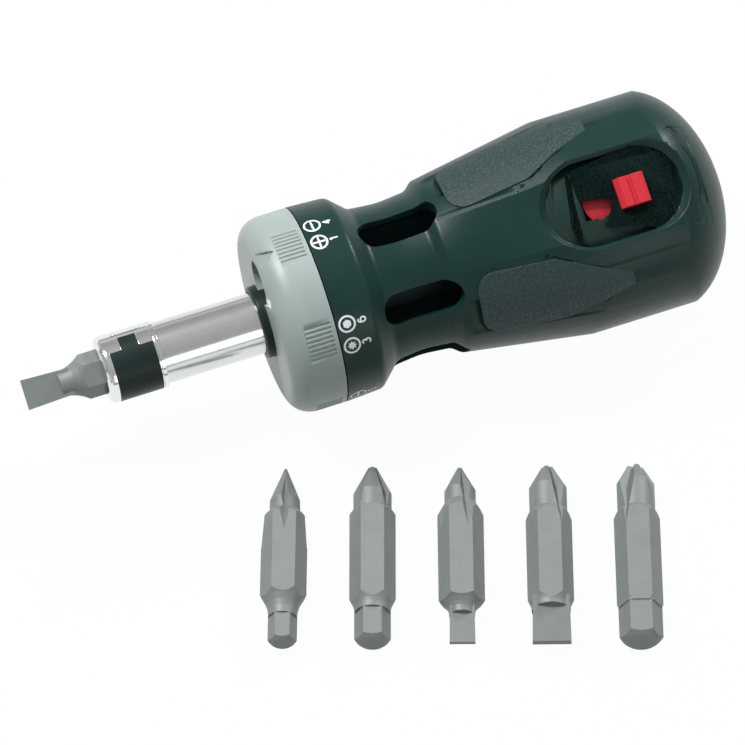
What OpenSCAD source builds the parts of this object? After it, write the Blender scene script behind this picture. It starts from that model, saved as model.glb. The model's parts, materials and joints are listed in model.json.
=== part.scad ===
// Stubby ratcheting screwdriver with a six-pocket bit magazine in the handle,
// a turning selector ring, and a three-way switch. Millimetres.
//
// The tool is modelled along +Z from the bit's tip to the butt, with the
// collar's front face at zero and the switch facing +X. in_row() then lays it
// down on its ring and its grip, with the butt towards the row's +X.

/* [Bits] */
// Width across the flats of a hexagonal bit
bit_af = 6.35; // [6.1:0.05:6.5]
// Length of a double-ended bit
bit_len = 32; // [30:0.5:34]
// How far the bit in the chuck stands out of it
bit_out = 12.7; // [11:0.1:14]
// Room between a bit's flat and the wall of its pocket
pocket_play = 0.125; // [0.1:0.025:0.2]

/* [Shank] */
// Diameter of the shaft
shaft_d = 10; // [9.8:0.1:10.4]
// Length of the shaft between the chuck and the ring
shaft_len = 15.7; // [12:0.1:24]
// Length of the chuck
chuck_len = 9.6; // [9:0.1:12]
// Wall of the chuck's sleeve
sleeve_wall = 0.85; // [0.7:0.05:1.1]
// Radial width of the black bush around the shaft
bush_wall = 0.85; // [0.7:0.05:1.2]

/* [Selector ring] */
// Length of the selector ring
ring_len = 10.5; // [9.5:0.1:12]
// Thickness of the ring's front disc
ring_disc = 4.7; // [4:0.1:5]
// Wall of the ring's skirt
ring_wall = 2.1; // [1.9:0.1:2.6]
// Radius of the bit exit hole in the ring
exit_r = 3.8; // [3.75:0.05:3.9]

/* [Handle] */
// Length of the collar in front of the waist
collar_len = 6.2; // [6:0.1:7]
// Wall of the handle at its waist
waist_wall = 1.6; // [1.5:0.05:2]
// How far the grip's faces stand out past the waist
grip_swell = 5.05; // [4.6:0.05:5.6]
// How far the grip's soft corners stand out past its faces
corner_swell = 0.65; // [0.4:0.05:0.8]
// Length of a window in the waist
window_len = 13.1; // [11:0.1:14]
// Width of a window in the waist
window_w = 5.3; // [4.4:0.1:5.5]
// Thickness of a thumb pad
pad_t = 1; // [0.8:0.1:1.4]
// Length of the butt behind the ratchet
butt_len = 10.5; // [9.5:0.1:13]

/* [Ratchet] */
// Diameter of the ratchet wheel over its teeth
wheel_d = 10.8; // [10.6:0.1:11]
// Length of the ratchet wheel
wheel_len = 9.5; // [9:0.1:10]
// Angle that lifts a pawl clear of the wheel
pawl_lift = 10.5; // [10:0.1:11]

/* [Switch] */
// Travel of the switch between its outer stops
switch_travel = 5.9; // [5.5:0.1:6]
// Length of the switch's thumb block
block_len = 4.9; // [4.6:0.1:5.2]
// Width of the switch's thumb block
block_w = 4.9; // [4.5:0.1:5.2]
// Length of the oval switch plate
plate_len = 22.4; // [22.2:0.1:23]
// Width of the oval switch plate
plate_w = 13.9; // [13.9:0.1:14.5]

/* [Layout] */
// Distance between the loose bits
loose_pitch = 14; // [9:0.5:18]
// Distance from the tool's axis to the row of loose bits
loose_row = 38.7; // [38:0.1:50]
// How far the row of loose bits is turned from the tool's axis
loose_turn = 18.8; // [14:0.1:22]
// How far behind the collar's face the middle loose bit lies
loose_mid = 22.9; // [10:0.1:30]

/* [Hidden] */
$fn = 64;

// Clearances and overruns that several pieces share
over = 1;              // how far a cut runs past a face
run = 0.05;            // radial play of a shaft or journal in its bore
gap = 0.3;             // play between pieces that move past each other
axial = 0.1;           // end play of a piece that turns between faces

// Hexagons
hex_k = 2 / sqrt(3);   // across corners over across flats
bit_ac = bit_af * hex_k;
pocket_af = bit_af + 2 * pocket_play;
pocket_count = 6;
pocket_step = 360 / pocket_count;
pocket_turn = pocket_step / 2;

// Radii, from the shaft outwards
shaft_r = shaft_d / 2;
bush_bore_r = shaft_r + run;
bush_r = bush_bore_r + bush_wall;
bush_seat_r = bush_r - 0.6 * bush_wall;
pocket_r = bush_r + run + pocket_af / 2;
pocket_reach = norm([pocket_r + pocket_af / 2, pocket_af / 2 / sqrt(3)]);
core_wall = 1.75;
core_r = pocket_r + core_wall;
head_wall = 1.1;
head_r = pocket_reach + head_wall;
skirt_r = head_r + gap;
ring_r = skirt_r + ring_wall;
collar_r = ring_r;
waist_r = core_r + waist_wall;
grip_r = waist_r + grip_swell;
corner_r = grip_r + corner_swell;

// Stations along the axis
ring_gap = 0.2;
ring_front = -(ring_len + ring_gap);
disc_rear = ring_front + ring_disc;
head_front = disc_rear + gap;
pocket_end_play = 0.7;
pocket_rear = head_front + bit_len + pocket_end_play;
core_tail = 14.5;
core_rear = pocket_rear + core_tail;
bush_proud = 0.6;
bush_front = ring_front - bush_proud;
bush_rear_depth = 2.7;
bush_chamfer = 0.25;
bush_rear = head_front + bush_rear_depth;
chuck_rear = ring_front - shaft_len;
chuck_front = chuck_rear - chuck_len;
bit_tip = chuck_front - bit_out;
bit_end = bit_tip + bit_len;
cover_t = 1.8;
cover_rear = core_rear + cover_t;
housing_cavity = 11;
cavity_rear = cover_rear + housing_cavity;
housing_floor = 3.2;
housing_rear = cavity_rear + housing_floor;
butt_z = housing_rear + butt_len;

// Handle outline
collar_draft = 0.3;
collar_drop_len = 3;
waist_rise = 0.45;
waist_mid = 14;
shoulder_z = 18.9;
shoulder_len = 1.5;
shoulder_r = waist_r + 1.7;
cone_rear = 45.4;
dome_len = 12.2;
dome_front = butt_z - dome_len;
edge_fillet = 1.6;
foot_fillet = 1.8;
waist_fillet = 16;
shoulder_fillet = 1.6;
cone_fillet = 16;
fillet_steps = 5;
dome_steps = 12;
// Radius of a grip face's crown, from the two radii that it passes through
face_half = 45;
crown_back = (corner_r * corner_r - grip_r * grip_r)
    / (2 * (grip_r - corner_r * cos(face_half)));
crown_r = grip_r + crown_back;

// Windows and pads
window_front = 11.5;
window_floor_r = pocket_r;
pad_front = 25;
pad_mid = 37;
pad_rear = 48;
pad_centre = 43;
pad_half = 18;
pad_end_half = 4;
pad_end_turn = 2;
pad_proud = 0.25;
pad_corner = 3.2;

// Core screws, keys and collar holes
screw_count = 3;
screw_r = 0.7;
screw_head_r = 1.15;
screw_head_t = 0.8;
screw_depth = 5;
screw_pitch_r = core_r + 1.25;
key_r = 0.7;
key_turn = 60;

// Ring detent and retainer
ball_r = 1;
ball_hole_r = 1.05;
ball_sink = 0.35;
ball_pitch_r = head_r - ball_sink;
ball_z = 0.6 * head_front;
ball_floor_r = ball_pitch_r - 2.65;
ball_press = 0.5;
detent_step = 30;
detent_r = ball_r + gap;
detent_turn = 180;
retainer_t = 0.6;
retainer_z = -1.4;
retainer_in = head_r - 0.5;
retainer_out = head_r + 0.55;
retainer_gap_turn = 24;

// Ring shape
ring_nose = 6.2;
face_cone = 0.8;
ring_touch_z = ring_front + ring_nose;
shoulder_a = ring_nose - face_cone;
shoulder_b = 6.8;
shoulder_steps = 12;
rib_count = 8;
rib_step = 2.7;
rib_r = 0.28;
rib_front = -7.4;
rib_rear = -1.3;
rib_out = 0.05;
exit_turn = -30;
notch_side = 2.2;
notch_tilt = 48;
notch_len = 4;
notch_r = pocket_r + exit_r - 0.6;
notch_z = ring_front + 1.2;

// Chuck
nose_lip = 0.6;
nose_r = shaft_r + 0.5 - sleeve_wall;
chuck_r = nose_r + sleeve_wall;
nose_round = 1.1;
mouth_r = bit_ac / 2 + 0.09;
socket_play = 0.05;
socket_af = bit_af + 2 * socket_play;
socket_rear = bit_end + 0.5;
magnet_r = 2.5;
magnet_len = 3;
clip_front = chuck_front + 1.6;
clip_rear = chuck_rear - 0.8;
clip_low = 150;
clip_mid = 40;
chuck_turn = 9.5;
clip_high = -16;
tab_front_share = 0.28;
tab_rear_share = 0.68;
tab_high = -43;
groove_w = 0.25;
groove_depth = 0.2;
slit_turn = -52;
slit_w = 0.22;
slit_len = 4.2;
slit_hole_r = 0.4;
slit_depth = 0.5;
slit_z = (clip_front + clip_rear) / 2;

// Spindle
spindle_r = 4;
seat_af = 6;
journal_r = 2.9;
spindle_tail = 0.3;

// Ratchet wheel
teeth = 24;
flat_share = 0.1;
circlip_gap_turn = 50;
wheel_r = wheel_d / 2;
tooth_h = 0.8;
root_r = wheel_r - tooth_h;
wheel_front = cover_rear + 1.5 * axial;
wheel_rear = wheel_front + wheel_len;
circlip_t = 0.6;
circlip_r = 3.9;
circlip_groove = 0.4;
flange_t = 0.6;
flange_r = 5;
bearing_r = 4.2;
bearing_wall_r = journal_r + run;

// Pawls
housing_wall = 1.1;
cavity_r = core_r - housing_wall;
pawl_len = 7.7;
pawl_front = wheel_front + 0.85;
pawl_boss_r = 1.45;
pawl_pivot_r = cavity_r - pawl_boss_r - 0.25;
pivot_turn = 60;
nose_turn = 22.5;
nose_tip_r = root_r + 0.3;
pawl_pin_r = 0.75;
pin_sink = 1.5;
arm_play = 0.6;
arm_upper_turn = 9;
arm_lower_turn = 8;
nose_over = 0.1;
nose_base_turn = 6.2;
head_x = wheel_r + 2;
head_low = 1.6;
head_high = 3.7;
head_mid = [head_x - 0.9, 2.5];
pivot = pawl_pivot_r * [cos(pivot_turn), sin(pivot_turn)];
nose = nose_tip_r * [cos(nose_turn), sin(nose_turn)];
finger_r = 0.55;
finger_y = 2.9;

// Switch stack, as heights above the axis
recess_depth = 2;
plate_top = grip_r - recess_depth;
plate_t = 1.2;
plate_under = plate_top - plate_t;
base_top = plate_under - 0.2;
base_under = plate_under - 1.5;
cam_t = 1.2;
cam_under = base_under - cam_t;
chamber_floor = cam_under - 0.2;
block_top = plate_top + 1.3;
switch_z = 48.5;
block_play = 0.05;
window_l = block_len + switch_travel + 2 * block_play;
window_front_z = switch_z - window_l / 2;
block_rear = switch_z + window_l / 2 - block_play;
block_front = block_rear - block_len;
window_play = 0.1;
scallop_r = 0.75;
scallop_out = 0.35;
base_w = 7.5;
base_front_over = 0.45;
base_front = window_front_z + base_front_over;
base_rear = block_rear + 3.4;
base_slot_play = 0.2;
base_slot_end = 0.1;
plate_ledge = 0.2;
thumb_groove_r = 0.35;
thumb_ramp = 1.1;
scallop_y = block_w / 2 + window_play + scallop_out - scallop_r;
scallop_z = (block_front + block_rear) / 2;
finger_z = switch_z;
finger_tip = cam_under + 0.35;
finger_rel = [finger_tip, finger_y] - pivot;
finger_shift = finger_rel[0] * sin(pawl_lift)
    + finger_rel[1] * (cos(pawl_lift) - 1);
cam_play = 0.25;
cam_outer = finger_y + finger_shift + finger_r + cam_play;
cam_rim = 0.45;
cam_half = cam_outer + cam_rim;
cam_front = finger_z - finger_r - cam_play - cam_rim;
cam_rear = finger_z + switch_travel + finger_r + cam_play + cam_rim;
slot_half_z = finger_r + gap;
slot_half_y = cam_outer + 0.1;
recess_low = plate_top - 1.6;
recess_high = grip_r + 0.4;
recess_spread_share = [1.23, 1.94];

// Springs
wire_d = 0.28;
spring_sides = 6;
turn_steps = 14;
detent_turns = 3;
detent_coil_r = 0.62;
pawl_turns = 4;
pawl_coil_r = 0.8;
pawl_spring_y = 2.6;
pawl_spring_z = pawl_front + pawl_len - 1.7;
seat_hole_r = 1.1;
spring_floor = core_r - 0.7;
reverse_lift = 1.05;

// How the tool lies: on the ring's edge and the grip's nearest face
roll = 22.5;
grip_touch_z = 42.4;
grip_touch_r = crown_r - crown_back * cos(roll);
lean = atan((grip_touch_r - ring_r) / (grip_touch_z - ring_touch_z));
axis_h = (ring_r - ring_touch_z * tan(lean)) * cos(lean);
axis_x = -(butt_z + bit_tip) / 2 * cos(lean);
loose_lean = [-1, -0.3, 0.2, 0.4, 0.65];
axis_y = ((loose_mid + 2 * loose_pitch + bit_af / 2) * sin(loose_turn)
    + (loose_row + bit_len / 2) * cos(loose_turn) - grip_touch_r) / 2;

// Double-ended bits. The first five shares are of the bit's length: end of the
// cone, end of the wings, start and end of the hexagon, end of the neck. The
// next three are of the hexagon's corner radius: wings, neck and point. The
// last, on a slot bit, is where the blade starts.
cross_root = 0.5;
neck_steps = 4;
neck_sink = 0.3;
hex_chamfer_share = 0.4;
blade_root_share = 0.8;
hex_4_shares = [0.19, 0.25, 0.297, 0.725, 0.845, 0.668, 0.63, 0.06];
hex_5_shares = [0.153, 0.25, 0.266, 0.75, 0.822, 0.83, 0.787, 0.2];
slot_4_shares = [0.134, 0.206, 0.275, 0.76, 0.8375, 0.68, 0.56, 0.1, 0.78];
slot_6_shares = [0.122, 0.256, 0.303, 0.76, 0.8125, 0.82, 0.84, 0.25, 0.77];
hex_6_shares = [0.1, 0.256, 0.297, 0.79, 0.8, 0.82, 0.945, 0.35];
slot_5_shares = [0.12, 0.25, 0.29, 0.69, 0.81, 0.8, 0.58, 0.2, 0.76];

// Outline helpers
function unit(v) = v / norm(v);
// Points of a fillet of radius r at corner b of the path a, b, c
function fillet(a, b, c, r, steps) =
    let (u = unit(a - b), w = unit(c - b))
    let (half = acos(u * w) / 2)
    let (reach = r / tan(half), hub = b + unit(u + w) * r / sin(half))
    let (p = b + u * reach, q = b + w * reach)
    let (t0 = atan2(p[1] - hub[1], p[0] - hub[0]))
    let (t1 = atan2(q[1] - hub[1], q[0] - hub[0]))
    let (sweep = (t1 - t0 + 540) % 360 - 180)
    [for (i = [0 : steps])
        hub + r * [cos(t0 + sweep * i / steps), sin(t0 + sweep * i / steps)]];

// Outline of the handle as [radius, station] points
handle_corners = [
    [collar_r, 0],
    [collar_r - collar_draft, collar_len],
    [waist_r + waist_rise, collar_len + collar_drop_len],
    [waist_r, waist_mid],
    [waist_r + waist_rise, shoulder_z],
    [shoulder_r, shoulder_z + shoulder_len],
    [corner_r, cone_rear],
    [corner_r, dome_front]
];
handle_fillets = [0, edge_fillet, foot_fillet, waist_fillet, foot_fillet,
    shoulder_fillet, cone_fillet, 0];
function handle_outline() = concat(
    [[0, 0], handle_corners[0]],
    [for (i = [1 : len(handle_corners) - 2])
        each fillet(handle_corners[i - 1], handle_corners[i],
            handle_corners[i + 1], handle_fillets[i], fillet_steps)],
    [for (i = [0 : dome_steps])
        let (t = 90 * i / dome_steps)
        [corner_r * cos(t), dome_front + dome_len * sin(t)]]
);

// Points of a coil spring's tube, as rings of points along a helix
function coil_points(coil_r, len, turns) =
    [for (i = [0 : turns * turn_steps])
        let (t = 360 * i / turn_steps)
        let (z = wire_d / 2 + (len - wire_d) * i / (turns * turn_steps))
        for (k = [0 : spring_sides - 1])
            let (s = 360 * k / spring_sides)
            let (r = coil_r + wire_d / 2 * cos(s))
            [r * cos(t), r * sin(t), z + wire_d / 2 * sin(s)]];
module coil(coil_r, len, turns) {
    n = spring_sides;
    rings = turns * turn_steps;
    faces = concat(
        [[for (k = [0 : n - 1]) k]],
        [for (i = [0 : rings - 1], k = [0 : n - 1])
            each [
                [i * n + k, (i + 1) * n + k, i * n + (k + 1) % n],
                [i * n + (k + 1) % n, (i + 1) * n + k, (i + 1) * n + (k + 1) % n]
            ]],
        [[for (k = [n - 1 : -1 : 0]) rings * n + k]]
    );
    polyhedron(coil_points(coil_r, len, turns), faces);
}

// Solids that several pieces share
module hex_rod(af, len) {
    cylinder(d = af * hex_k, h = len, $fn = 6);
}
module tube(outer, inner, len) {
    difference() {
        cylinder(r = outer, h = len);
        translate([0, 0, -over]) cylinder(r = inner, h = len + 2 * over);
    }
}
module around(count, step, first = 0) {
    for (i = [0 : count - 1]) rotate([0, 0, first + step * i]) children();
}
// A box that faces outwards from the axis, centred on a turn of zero
module radial_box(r0, r1, w, z0, z1) {
    translate([r0, -w / 2, z0]) cube([r1 - r0, w, z1 - z0]);
}
// A slab with round ends whose long side runs along the axis
module oval(len, w, r0, r1) {
    translate([r0, 0, 0]) rotate([0, 90, 0])
        linear_extrude(r1 - r0) oval_face(len, w);
}
module oval_face(len, w) {
    translate([-(len - w) / 2, 0]) circle(d = w);
    translate([(len - w) / 2, 0]) circle(d = w);
    square([len - w, w], center = true);
}
// A sector of a tube between two turns, which may be up to 180 apart
module sector(r0, r1, z0, z1, t0, t1) {
    steps = 4;
    reach = 2 * r1;
    translate([0, 0, z0]) intersection() {
        tube(r1, r0, z1 - z0);
        linear_extrude(z1 - z0) polygon(concat([[0, 0]],
            [for (i = [0 : steps])
                let (t = t0 + (t1 - t0) * i / steps)
                reach * [cos(t), sin(t)]]));
    }
}
module pockets(af, z0, z1) {
    around(pocket_count, pocket_step, pocket_turn)
        translate([pocket_r, 0, z0])
            rotate([0, 0, 30]) hex_rod(af, z1 - z0);
}
module keys(r, z0, z1) {
    around(screw_count, 360 / screw_count, key_turn)
        translate([core_r, 0, z0]) cylinder(r = r, h = z1 - z0, $fn = 24);
}

// Lays the tool on the ground with its switch leaning towards the row's -Y
module in_row() {
    translate([axis_x, axis_y, axis_h])
        rotate([0, -lean, 0]) rotate([roll, 0, 0])
            rotate([180, 0, 0]) rotate([0, 90, 0]) children();
}

// Handle
module grip_faces() {
    intersection_for (i = [0 : 3])
        rotate([0, 0, 90 * i])
            translate([-crown_back, 0, -over])
                cylinder(r = crown_r, h = butt_z + 2 * over, $fn = 128);
}
module window_cut() {
    window_end = window_w / 2;
    for (z = [window_front + window_end, window_front + window_len - window_end])
        translate([window_floor_r, 0, z]) rotate([0, 90, 0])
            cylinder(r = window_end, h = corner_r - window_floor_r);
    radial_box(window_floor_r, corner_r, window_w,
        window_front + window_end, window_front + window_len - window_end);
}
module pad_outline() {
    front = pad_half;
    half_w = corner_r * sin(front);
    end_w = corner_r * sin(pad_end_half);
    end_y = corner_r * sin(pad_end_turn);
    corner = pad_corner;
    for (side = [-1, 1])
        translate([pad_front + corner, side * (half_w - corner)]) circle(r = corner);
    translate([pad_front, corner - half_w]) square([corner, 2 * (half_w - corner)]);
    polygon([
        [pad_front + corner, -half_w], [pad_mid, -half_w],
        [pad_rear, end_y - end_w], [pad_rear, end_y + end_w],
        [pad_mid, half_w], [pad_front + corner, half_w]
    ]);
}
module pad_block(turn, side) {
    rotate([0, 0, turn]) mirror([0, side, 0])
        rotate([0, -90, 0]) mirror([0, 0, 1])
            translate([0, 0, waist_r]) linear_extrude(corner_r) pad_outline();
}
module pad_blocks() {
    for (i = [0 : 3]) pad_block(90 * i + (i % 2 == 0 ? pad_centre : 90 - pad_centre), i % 2);
}
module handle_form(grow) {
    rotate_extrude($fn = 128) intersection() {
        translate([grow, 0]) polygon(handle_outline());
        square([corner_r + over, butt_z]);
    }
}
module handle_body() {
    intersection() {
        handle_form(0);
        grip_faces();
    }
}
module recess_cut() {
    translate([recess_low, 0, switch_z]) rotate([90, 0, 90])
        linear_extrude(recess_high - recess_low, scale = recess_spread_share, slices = 1)
            rotate([0, 0, 90]) oval_face(plate_len, plate_w, $fn = 48);
}
module handle_shell() {
    in_row() color("#1f3532") difference() {
        handle_body();
        translate([0, 0, -over]) cylinder(r = core_r, h = housing_rear + over);
        pockets(pocket_af, -over, pocket_rear);
        keys(key_r, -over, housing_rear);
        around(pocket_count, pocket_step, pocket_turn) window_cut();
        around(screw_count, 360 / screw_count)
            translate([screw_pitch_r, 0, -over])
                cylinder(r = screw_r, h = screw_depth + over, $fn = 24);
        difference() {
            union() {
                recess_cut();
                translate([0, 0, switch_z]) oval(plate_len, plate_w, core_r, grip_r);
            }
            translate([0, 0, -over]) cylinder(r = plate_under, h = butt_z);
        }
        translate([0, 0, switch_z])
            oval(plate_len - 2 * plate_ledge, base_w + 2 * base_slot_play,
                base_under - axial, plate_top);
        radial_box(chamber_floor, base_under + axial, 2 * (cam_half + gap),
            cam_front - switch_travel - gap, cam_rear + gap);
        radial_box(cavity_r / 2, base_under, 2 * slot_half_y,
            finger_z - slot_half_z, finger_z + slot_half_z);
        difference() {
            pad_blocks();
            handle_form(-pad_t);
        }
    }
}
module thumb_pads() {
    in_row() color("#2a3d39") difference() {
        intersection() {
            pad_blocks();
            handle_form(pad_proud);
            grip_faces();
        }
        handle_form(-pad_t);
    }
}

// Bit magazine inside the handle
module magazine_core() {
    in_row() color("#26302e") difference() {
        union() {
            translate([0, 0, head_front]) cylinder(r = head_r, h = -head_front);
            cylinder(r = core_r, h = core_rear);
            keys(key_r, 0, core_rear);
        }
        pockets(pocket_af, head_front - over, pocket_rear);
        translate([0, 0, head_front - over])
            cylinder(r = bush_seat_r, h = bush_rear - head_front + over);
        cylinder(r = spindle_r + run, h = core_rear + over);
        translate([0, 0, bush_rear - over]) cylinder(r = spindle_r + run, h = core_rear);
        around(screw_count, 360 / screw_count) translate([screw_pitch_r, 0, 0]) {
            translate([0, 0, head_front - over])
                cylinder(r = screw_r, h = over - head_front, $fn = 24);
            translate([0, 0, head_front - over])
                cylinder(r = screw_head_r, h = screw_head_t + axial + over, $fn = 24);
        }
        rotate([0, 0, detent_turn]) translate([ball_floor_r, 0, ball_z])
            rotate([0, 90, 0]) cylinder(r = ball_hole_r, h = head_r);
        translate([0, 0, retainer_z]) tube(head_r + over, retainer_in, retainer_t);
    }
}
module core_screws() {
    in_row() color("#8c9090") around(screw_count, 360 / screw_count)
        translate([screw_pitch_r, 0, head_front + axial]) difference() {
            union() {
                cylinder(r = screw_head_r, h = screw_head_t, $fn = 24);
                cylinder(r = screw_r, h = screw_depth - head_front - axial, $fn = 24);
            }
            translate([0, 0, -over]) hex_rod(screw_r, over + screw_head_t / 2);
        }
}
module front_bush() {
    in_row() color("#16201f") difference() {
        union() {
            translate([0, 0, bush_front])
                cylinder(r1 = bush_r - bush_chamfer, r2 = bush_r, h = bush_chamfer);
            translate([0, 0, bush_front + bush_chamfer])
                cylinder(r = bush_r, h = head_front - bush_front - bush_chamfer);
            translate([0, 0, head_front])
                cylinder(r = bush_seat_r, h = bush_rear_depth);
        }
        translate([0, 0, bush_front - over])
            cylinder(r = bush_bore_r, h = bush_rear - bush_front + 2 * over);
    }
}

// Selector ring and what holds it
function ring_outline() = concat(
    [[bush_r + run, disc_rear], [bush_r + run, ring_front]],
    [for (i = [0 : shoulder_steps])
        let (t = 90 * i / shoulder_steps)
        [ring_r - shoulder_b + shoulder_b * sin(t), ring_touch_z - shoulder_a * cos(t)]],
    [[ring_r, -ring_gap], [skirt_r, -ring_gap], [skirt_r, disc_rear]]
);
module selector_ring() {
    in_row() color("#8f9893") difference() {
        rotate_extrude($fn = 128) polygon(ring_outline());
        rotate([0, 0, exit_turn]) {
            translate([pocket_r, 0, ring_front - over])
                cylinder(r = exit_r, h = ring_disc + 2 * over);
            translate([notch_r, 0, notch_z]) rotate([0, notch_tilt, 0])
                rotate([0, 0, 45])
                    translate([0, 0, -notch_len])
                        cube([notch_side, notch_side, 2 * notch_len]);
        }
        around(pocket_count, pocket_step, pocket_turn)
            around(rib_count, rib_step, -rib_step * (rib_count - 1) / 2)
                translate([ring_r + rib_out, 0, rib_front])
                    cylinder(r = rib_r, h = rib_rear - rib_front, $fn = 16);
        around(360 / detent_step, detent_step)
            translate([ball_pitch_r, 0, ball_z]) sphere(r = detent_r, $fn = 32);
        translate([0, 0, retainer_z - gap])
            tube(retainer_out + gap, skirt_r - over, retainer_t + 2 * gap);
    }
}
module ring_retainer() {
    in_row() color("#9aa0a0") difference() {
        translate([0, 0, retainer_z]) tube(retainer_out, retainer_in, retainer_t);
        sector(retainer_in - over, retainer_out + over, retainer_z - over,
            retainer_z + retainer_t + over, -retainer_gap_turn / 2, retainer_gap_turn / 2);
    }
}
module ring_detent_ball() {
    in_row() color("#b8bcbc") rotate([0, 0, detent_turn])
        translate([ball_pitch_r, 0, ball_z]) sphere(r = ball_r);
}
module ring_detent_spring() {
    in_row() color("#9aa0a0") rotate([0, 0, detent_turn])
        translate([ball_floor_r, 0, ball_z]) rotate([0, 90, 0])
            coil(detent_coil_r, ball_pitch_r - ball_r - ball_floor_r + wire_d / 2, detent_turns);
}

// Shaft and chuck
module socket_hex(af, z0, z1) {
    rotate([0, 0, chuck_turn - 90]) translate([0, 0, z0]) hex_rod(af, z1 - z0);
}
module spindle() {
    in_row() color("#b9bdbb") difference() {
        union() {
            translate([0, 0, chuck_front + nose_lip])
                cylinder(r = nose_r, h = chuck_len - nose_lip);
            translate([0, 0, chuck_rear])
                cylinder(r = shaft_r, h = bush_rear - axial - chuck_rear);
            translate([0, 0, bush_rear - axial - over])
                cylinder(r = spindle_r, h = wheel_front - bush_rear + axial + over);
            translate([0, 0, wheel_front]) hex_rod(seat_af, wheel_len);
            translate([0, 0, wheel_front])
                cylinder(r = journal_r, h = housing_rear - spindle_tail - wheel_front);
        }
        socket_hex(socket_af, chuck_front - over, socket_rear);
        translate([0, 0, socket_rear - over])
            cylinder(r = magnet_r, h = magnet_len + over);
        translate([0, 0, wheel_rear])
            tube(journal_r + over, journal_r - circlip_groove, circlip_t);
    }
}
module chuck_window(grow) {
    clip_len = clip_rear - clip_front;
    sector(nose_r - grow, chuck_r + grow, clip_front, clip_rear,
        clip_high, clip_mid);
    sector(nose_r - grow, chuck_r + grow, clip_front, clip_rear,
        clip_mid, clip_low);
    sector(nose_r - grow, chuck_r + grow,
        clip_front + tab_front_share * clip_len,
        clip_front + tab_rear_share * clip_len, tab_high, clip_mid);
}
module chuck_sleeve() {
    in_row() color("#d5d9d8") difference() {
        translate([0, 0, chuck_front]) difference() {
            rotate_extrude($fn = 96) polygon(concat(
                [[mouth_r, 0]],
                [for (i = [0 : fillet_steps])
                    let (t = 90 * i / fillet_steps)
                    [chuck_r - nose_round + nose_round * sin(t),
                        nose_round - nose_round * cos(t)]],
                [[chuck_r, chuck_len], [mouth_r, chuck_len]]
            ));
            translate([0, 0, nose_lip]) cylinder(r = nose_r, h = chuck_len);
        }
        chuck_window(over);
        translate([0, 0, clip_rear])
            tube(chuck_r + over, chuck_r - groove_depth, groove_w);
        rotate([0, 0, slit_turn]) {
            radial_box(chuck_r - slit_depth, chuck_r + over, slit_w,
                slit_z - slit_len / 2, slit_z + slit_len / 2);
            for (side = [-1, 1])
                translate([chuck_r - slit_depth, 0, slit_z + side * slit_len / 2])
                    rotate([0, 90, 0])
                        cylinder(r = slit_hole_r, h = slit_depth + over, $fn = 24);
        }
    }
}
module chuck_clip() {
    in_row() color("#141c1c") chuck_window(0);
}
module socket_magnet() {
    in_row() color("#55595a") translate([0, 0, socket_rear])
        cylinder(r = magnet_r, h = magnet_len);
}

// Ratchet
function polar(r, t) = r * [cos(t), sin(t)];
module ratchet_wheel() {
    pitch = 360 / teeth;
    in_row() color("#7d8383") difference() {
        translate([0, 0, wheel_front]) linear_extrude(wheel_len) polygon([
            for (i = [0 : teeth - 1]) each [
                polar(root_r, pitch * (i - 0.5 - flat_share)),
                polar(root_r, pitch * (i - 0.5 + flat_share)),
                polar(wheel_r, pitch * (i - flat_share)),
                polar(wheel_r, pitch * (i + flat_share))
            ]
        ]);
        translate([0, 0, wheel_front - over]) hex_rod(seat_af, wheel_len + 2 * over);
    }
}
module wheel_circlip() {
    in_row() color("#9aa0a0") difference() {
        translate([0, 0, wheel_rear])
            tube(circlip_r, journal_r - circlip_groove, circlip_t);
        sector(journal_r - circlip_groove - over, circlip_r + over, wheel_rear - over,
            wheel_rear + circlip_t + over, -circlip_gap_turn / 2, circlip_gap_turn / 2);
    }
}
module pins(r, z0, z1) {
    for (side = [-1, 1])
        translate([pivot[0], side * pivot[1], z0])
            cylinder(r = r, h = z1 - z0, $fn = 32);
}
module housing_cover() {
    in_row() color("#6f7676") difference() {
        union() {
            translate([0, 0, core_rear]) cylinder(r = core_r, h = cover_t);
            keys(key_r, core_rear, cover_rear);
        }
        translate([0, 0, core_rear - over])
            cylinder(r = spindle_r + run, h = cover_t + 2 * over);
        pins(pawl_pin_r, core_rear - over, cover_rear + over);
    }
}
module spring_seats() {
    for (side = [-1, 1])
        translate([wheel_r + over, side * pawl_spring_y, pawl_spring_z])
            rotate([0, 90, 0]) cylinder(r = seat_hole_r, h = spring_floor - wheel_r - over);
}
module ratchet_housing() {
    in_row() color("#596060") difference() {
        union() {
            translate([0, 0, cover_rear])
                cylinder(r = core_r, h = housing_rear - cover_rear);
            keys(key_r, cover_rear, housing_rear);
        }
        translate([0, 0, cover_rear - over])
            cylinder(r = cavity_r, h = housing_cavity + over);
        translate([0, 0, cavity_rear - over])
            cylinder(r = bearing_r, h = housing_floor + 2 * over);
        radial_box(cavity_r / 2, core_r + over, 2 * slot_half_y,
            finger_z - slot_half_z, finger_z + slot_half_z);
        pins(pawl_pin_r, cavity_rear - over, cavity_rear + pin_sink);
        spring_seats();
    }
}
module rear_bearing() {
    in_row() color("#a8834a") difference() {
        union() {
            translate([0, 0, cavity_rear]) cylinder(r = bearing_r, h = housing_floor);
            translate([0, 0, cavity_rear - flange_t]) cylinder(r = flange_r, h = flange_t);
        }
        translate([0, 0, cavity_rear - flange_t - over])
            cylinder(r = bearing_wall_r, h = housing_floor + flange_t + 2 * over);
    }
}
module pawl_pins() {
    in_row() color("#9aa0a0") pins(pawl_pin_r, core_rear, cavity_rear + pin_sink);
}
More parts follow.
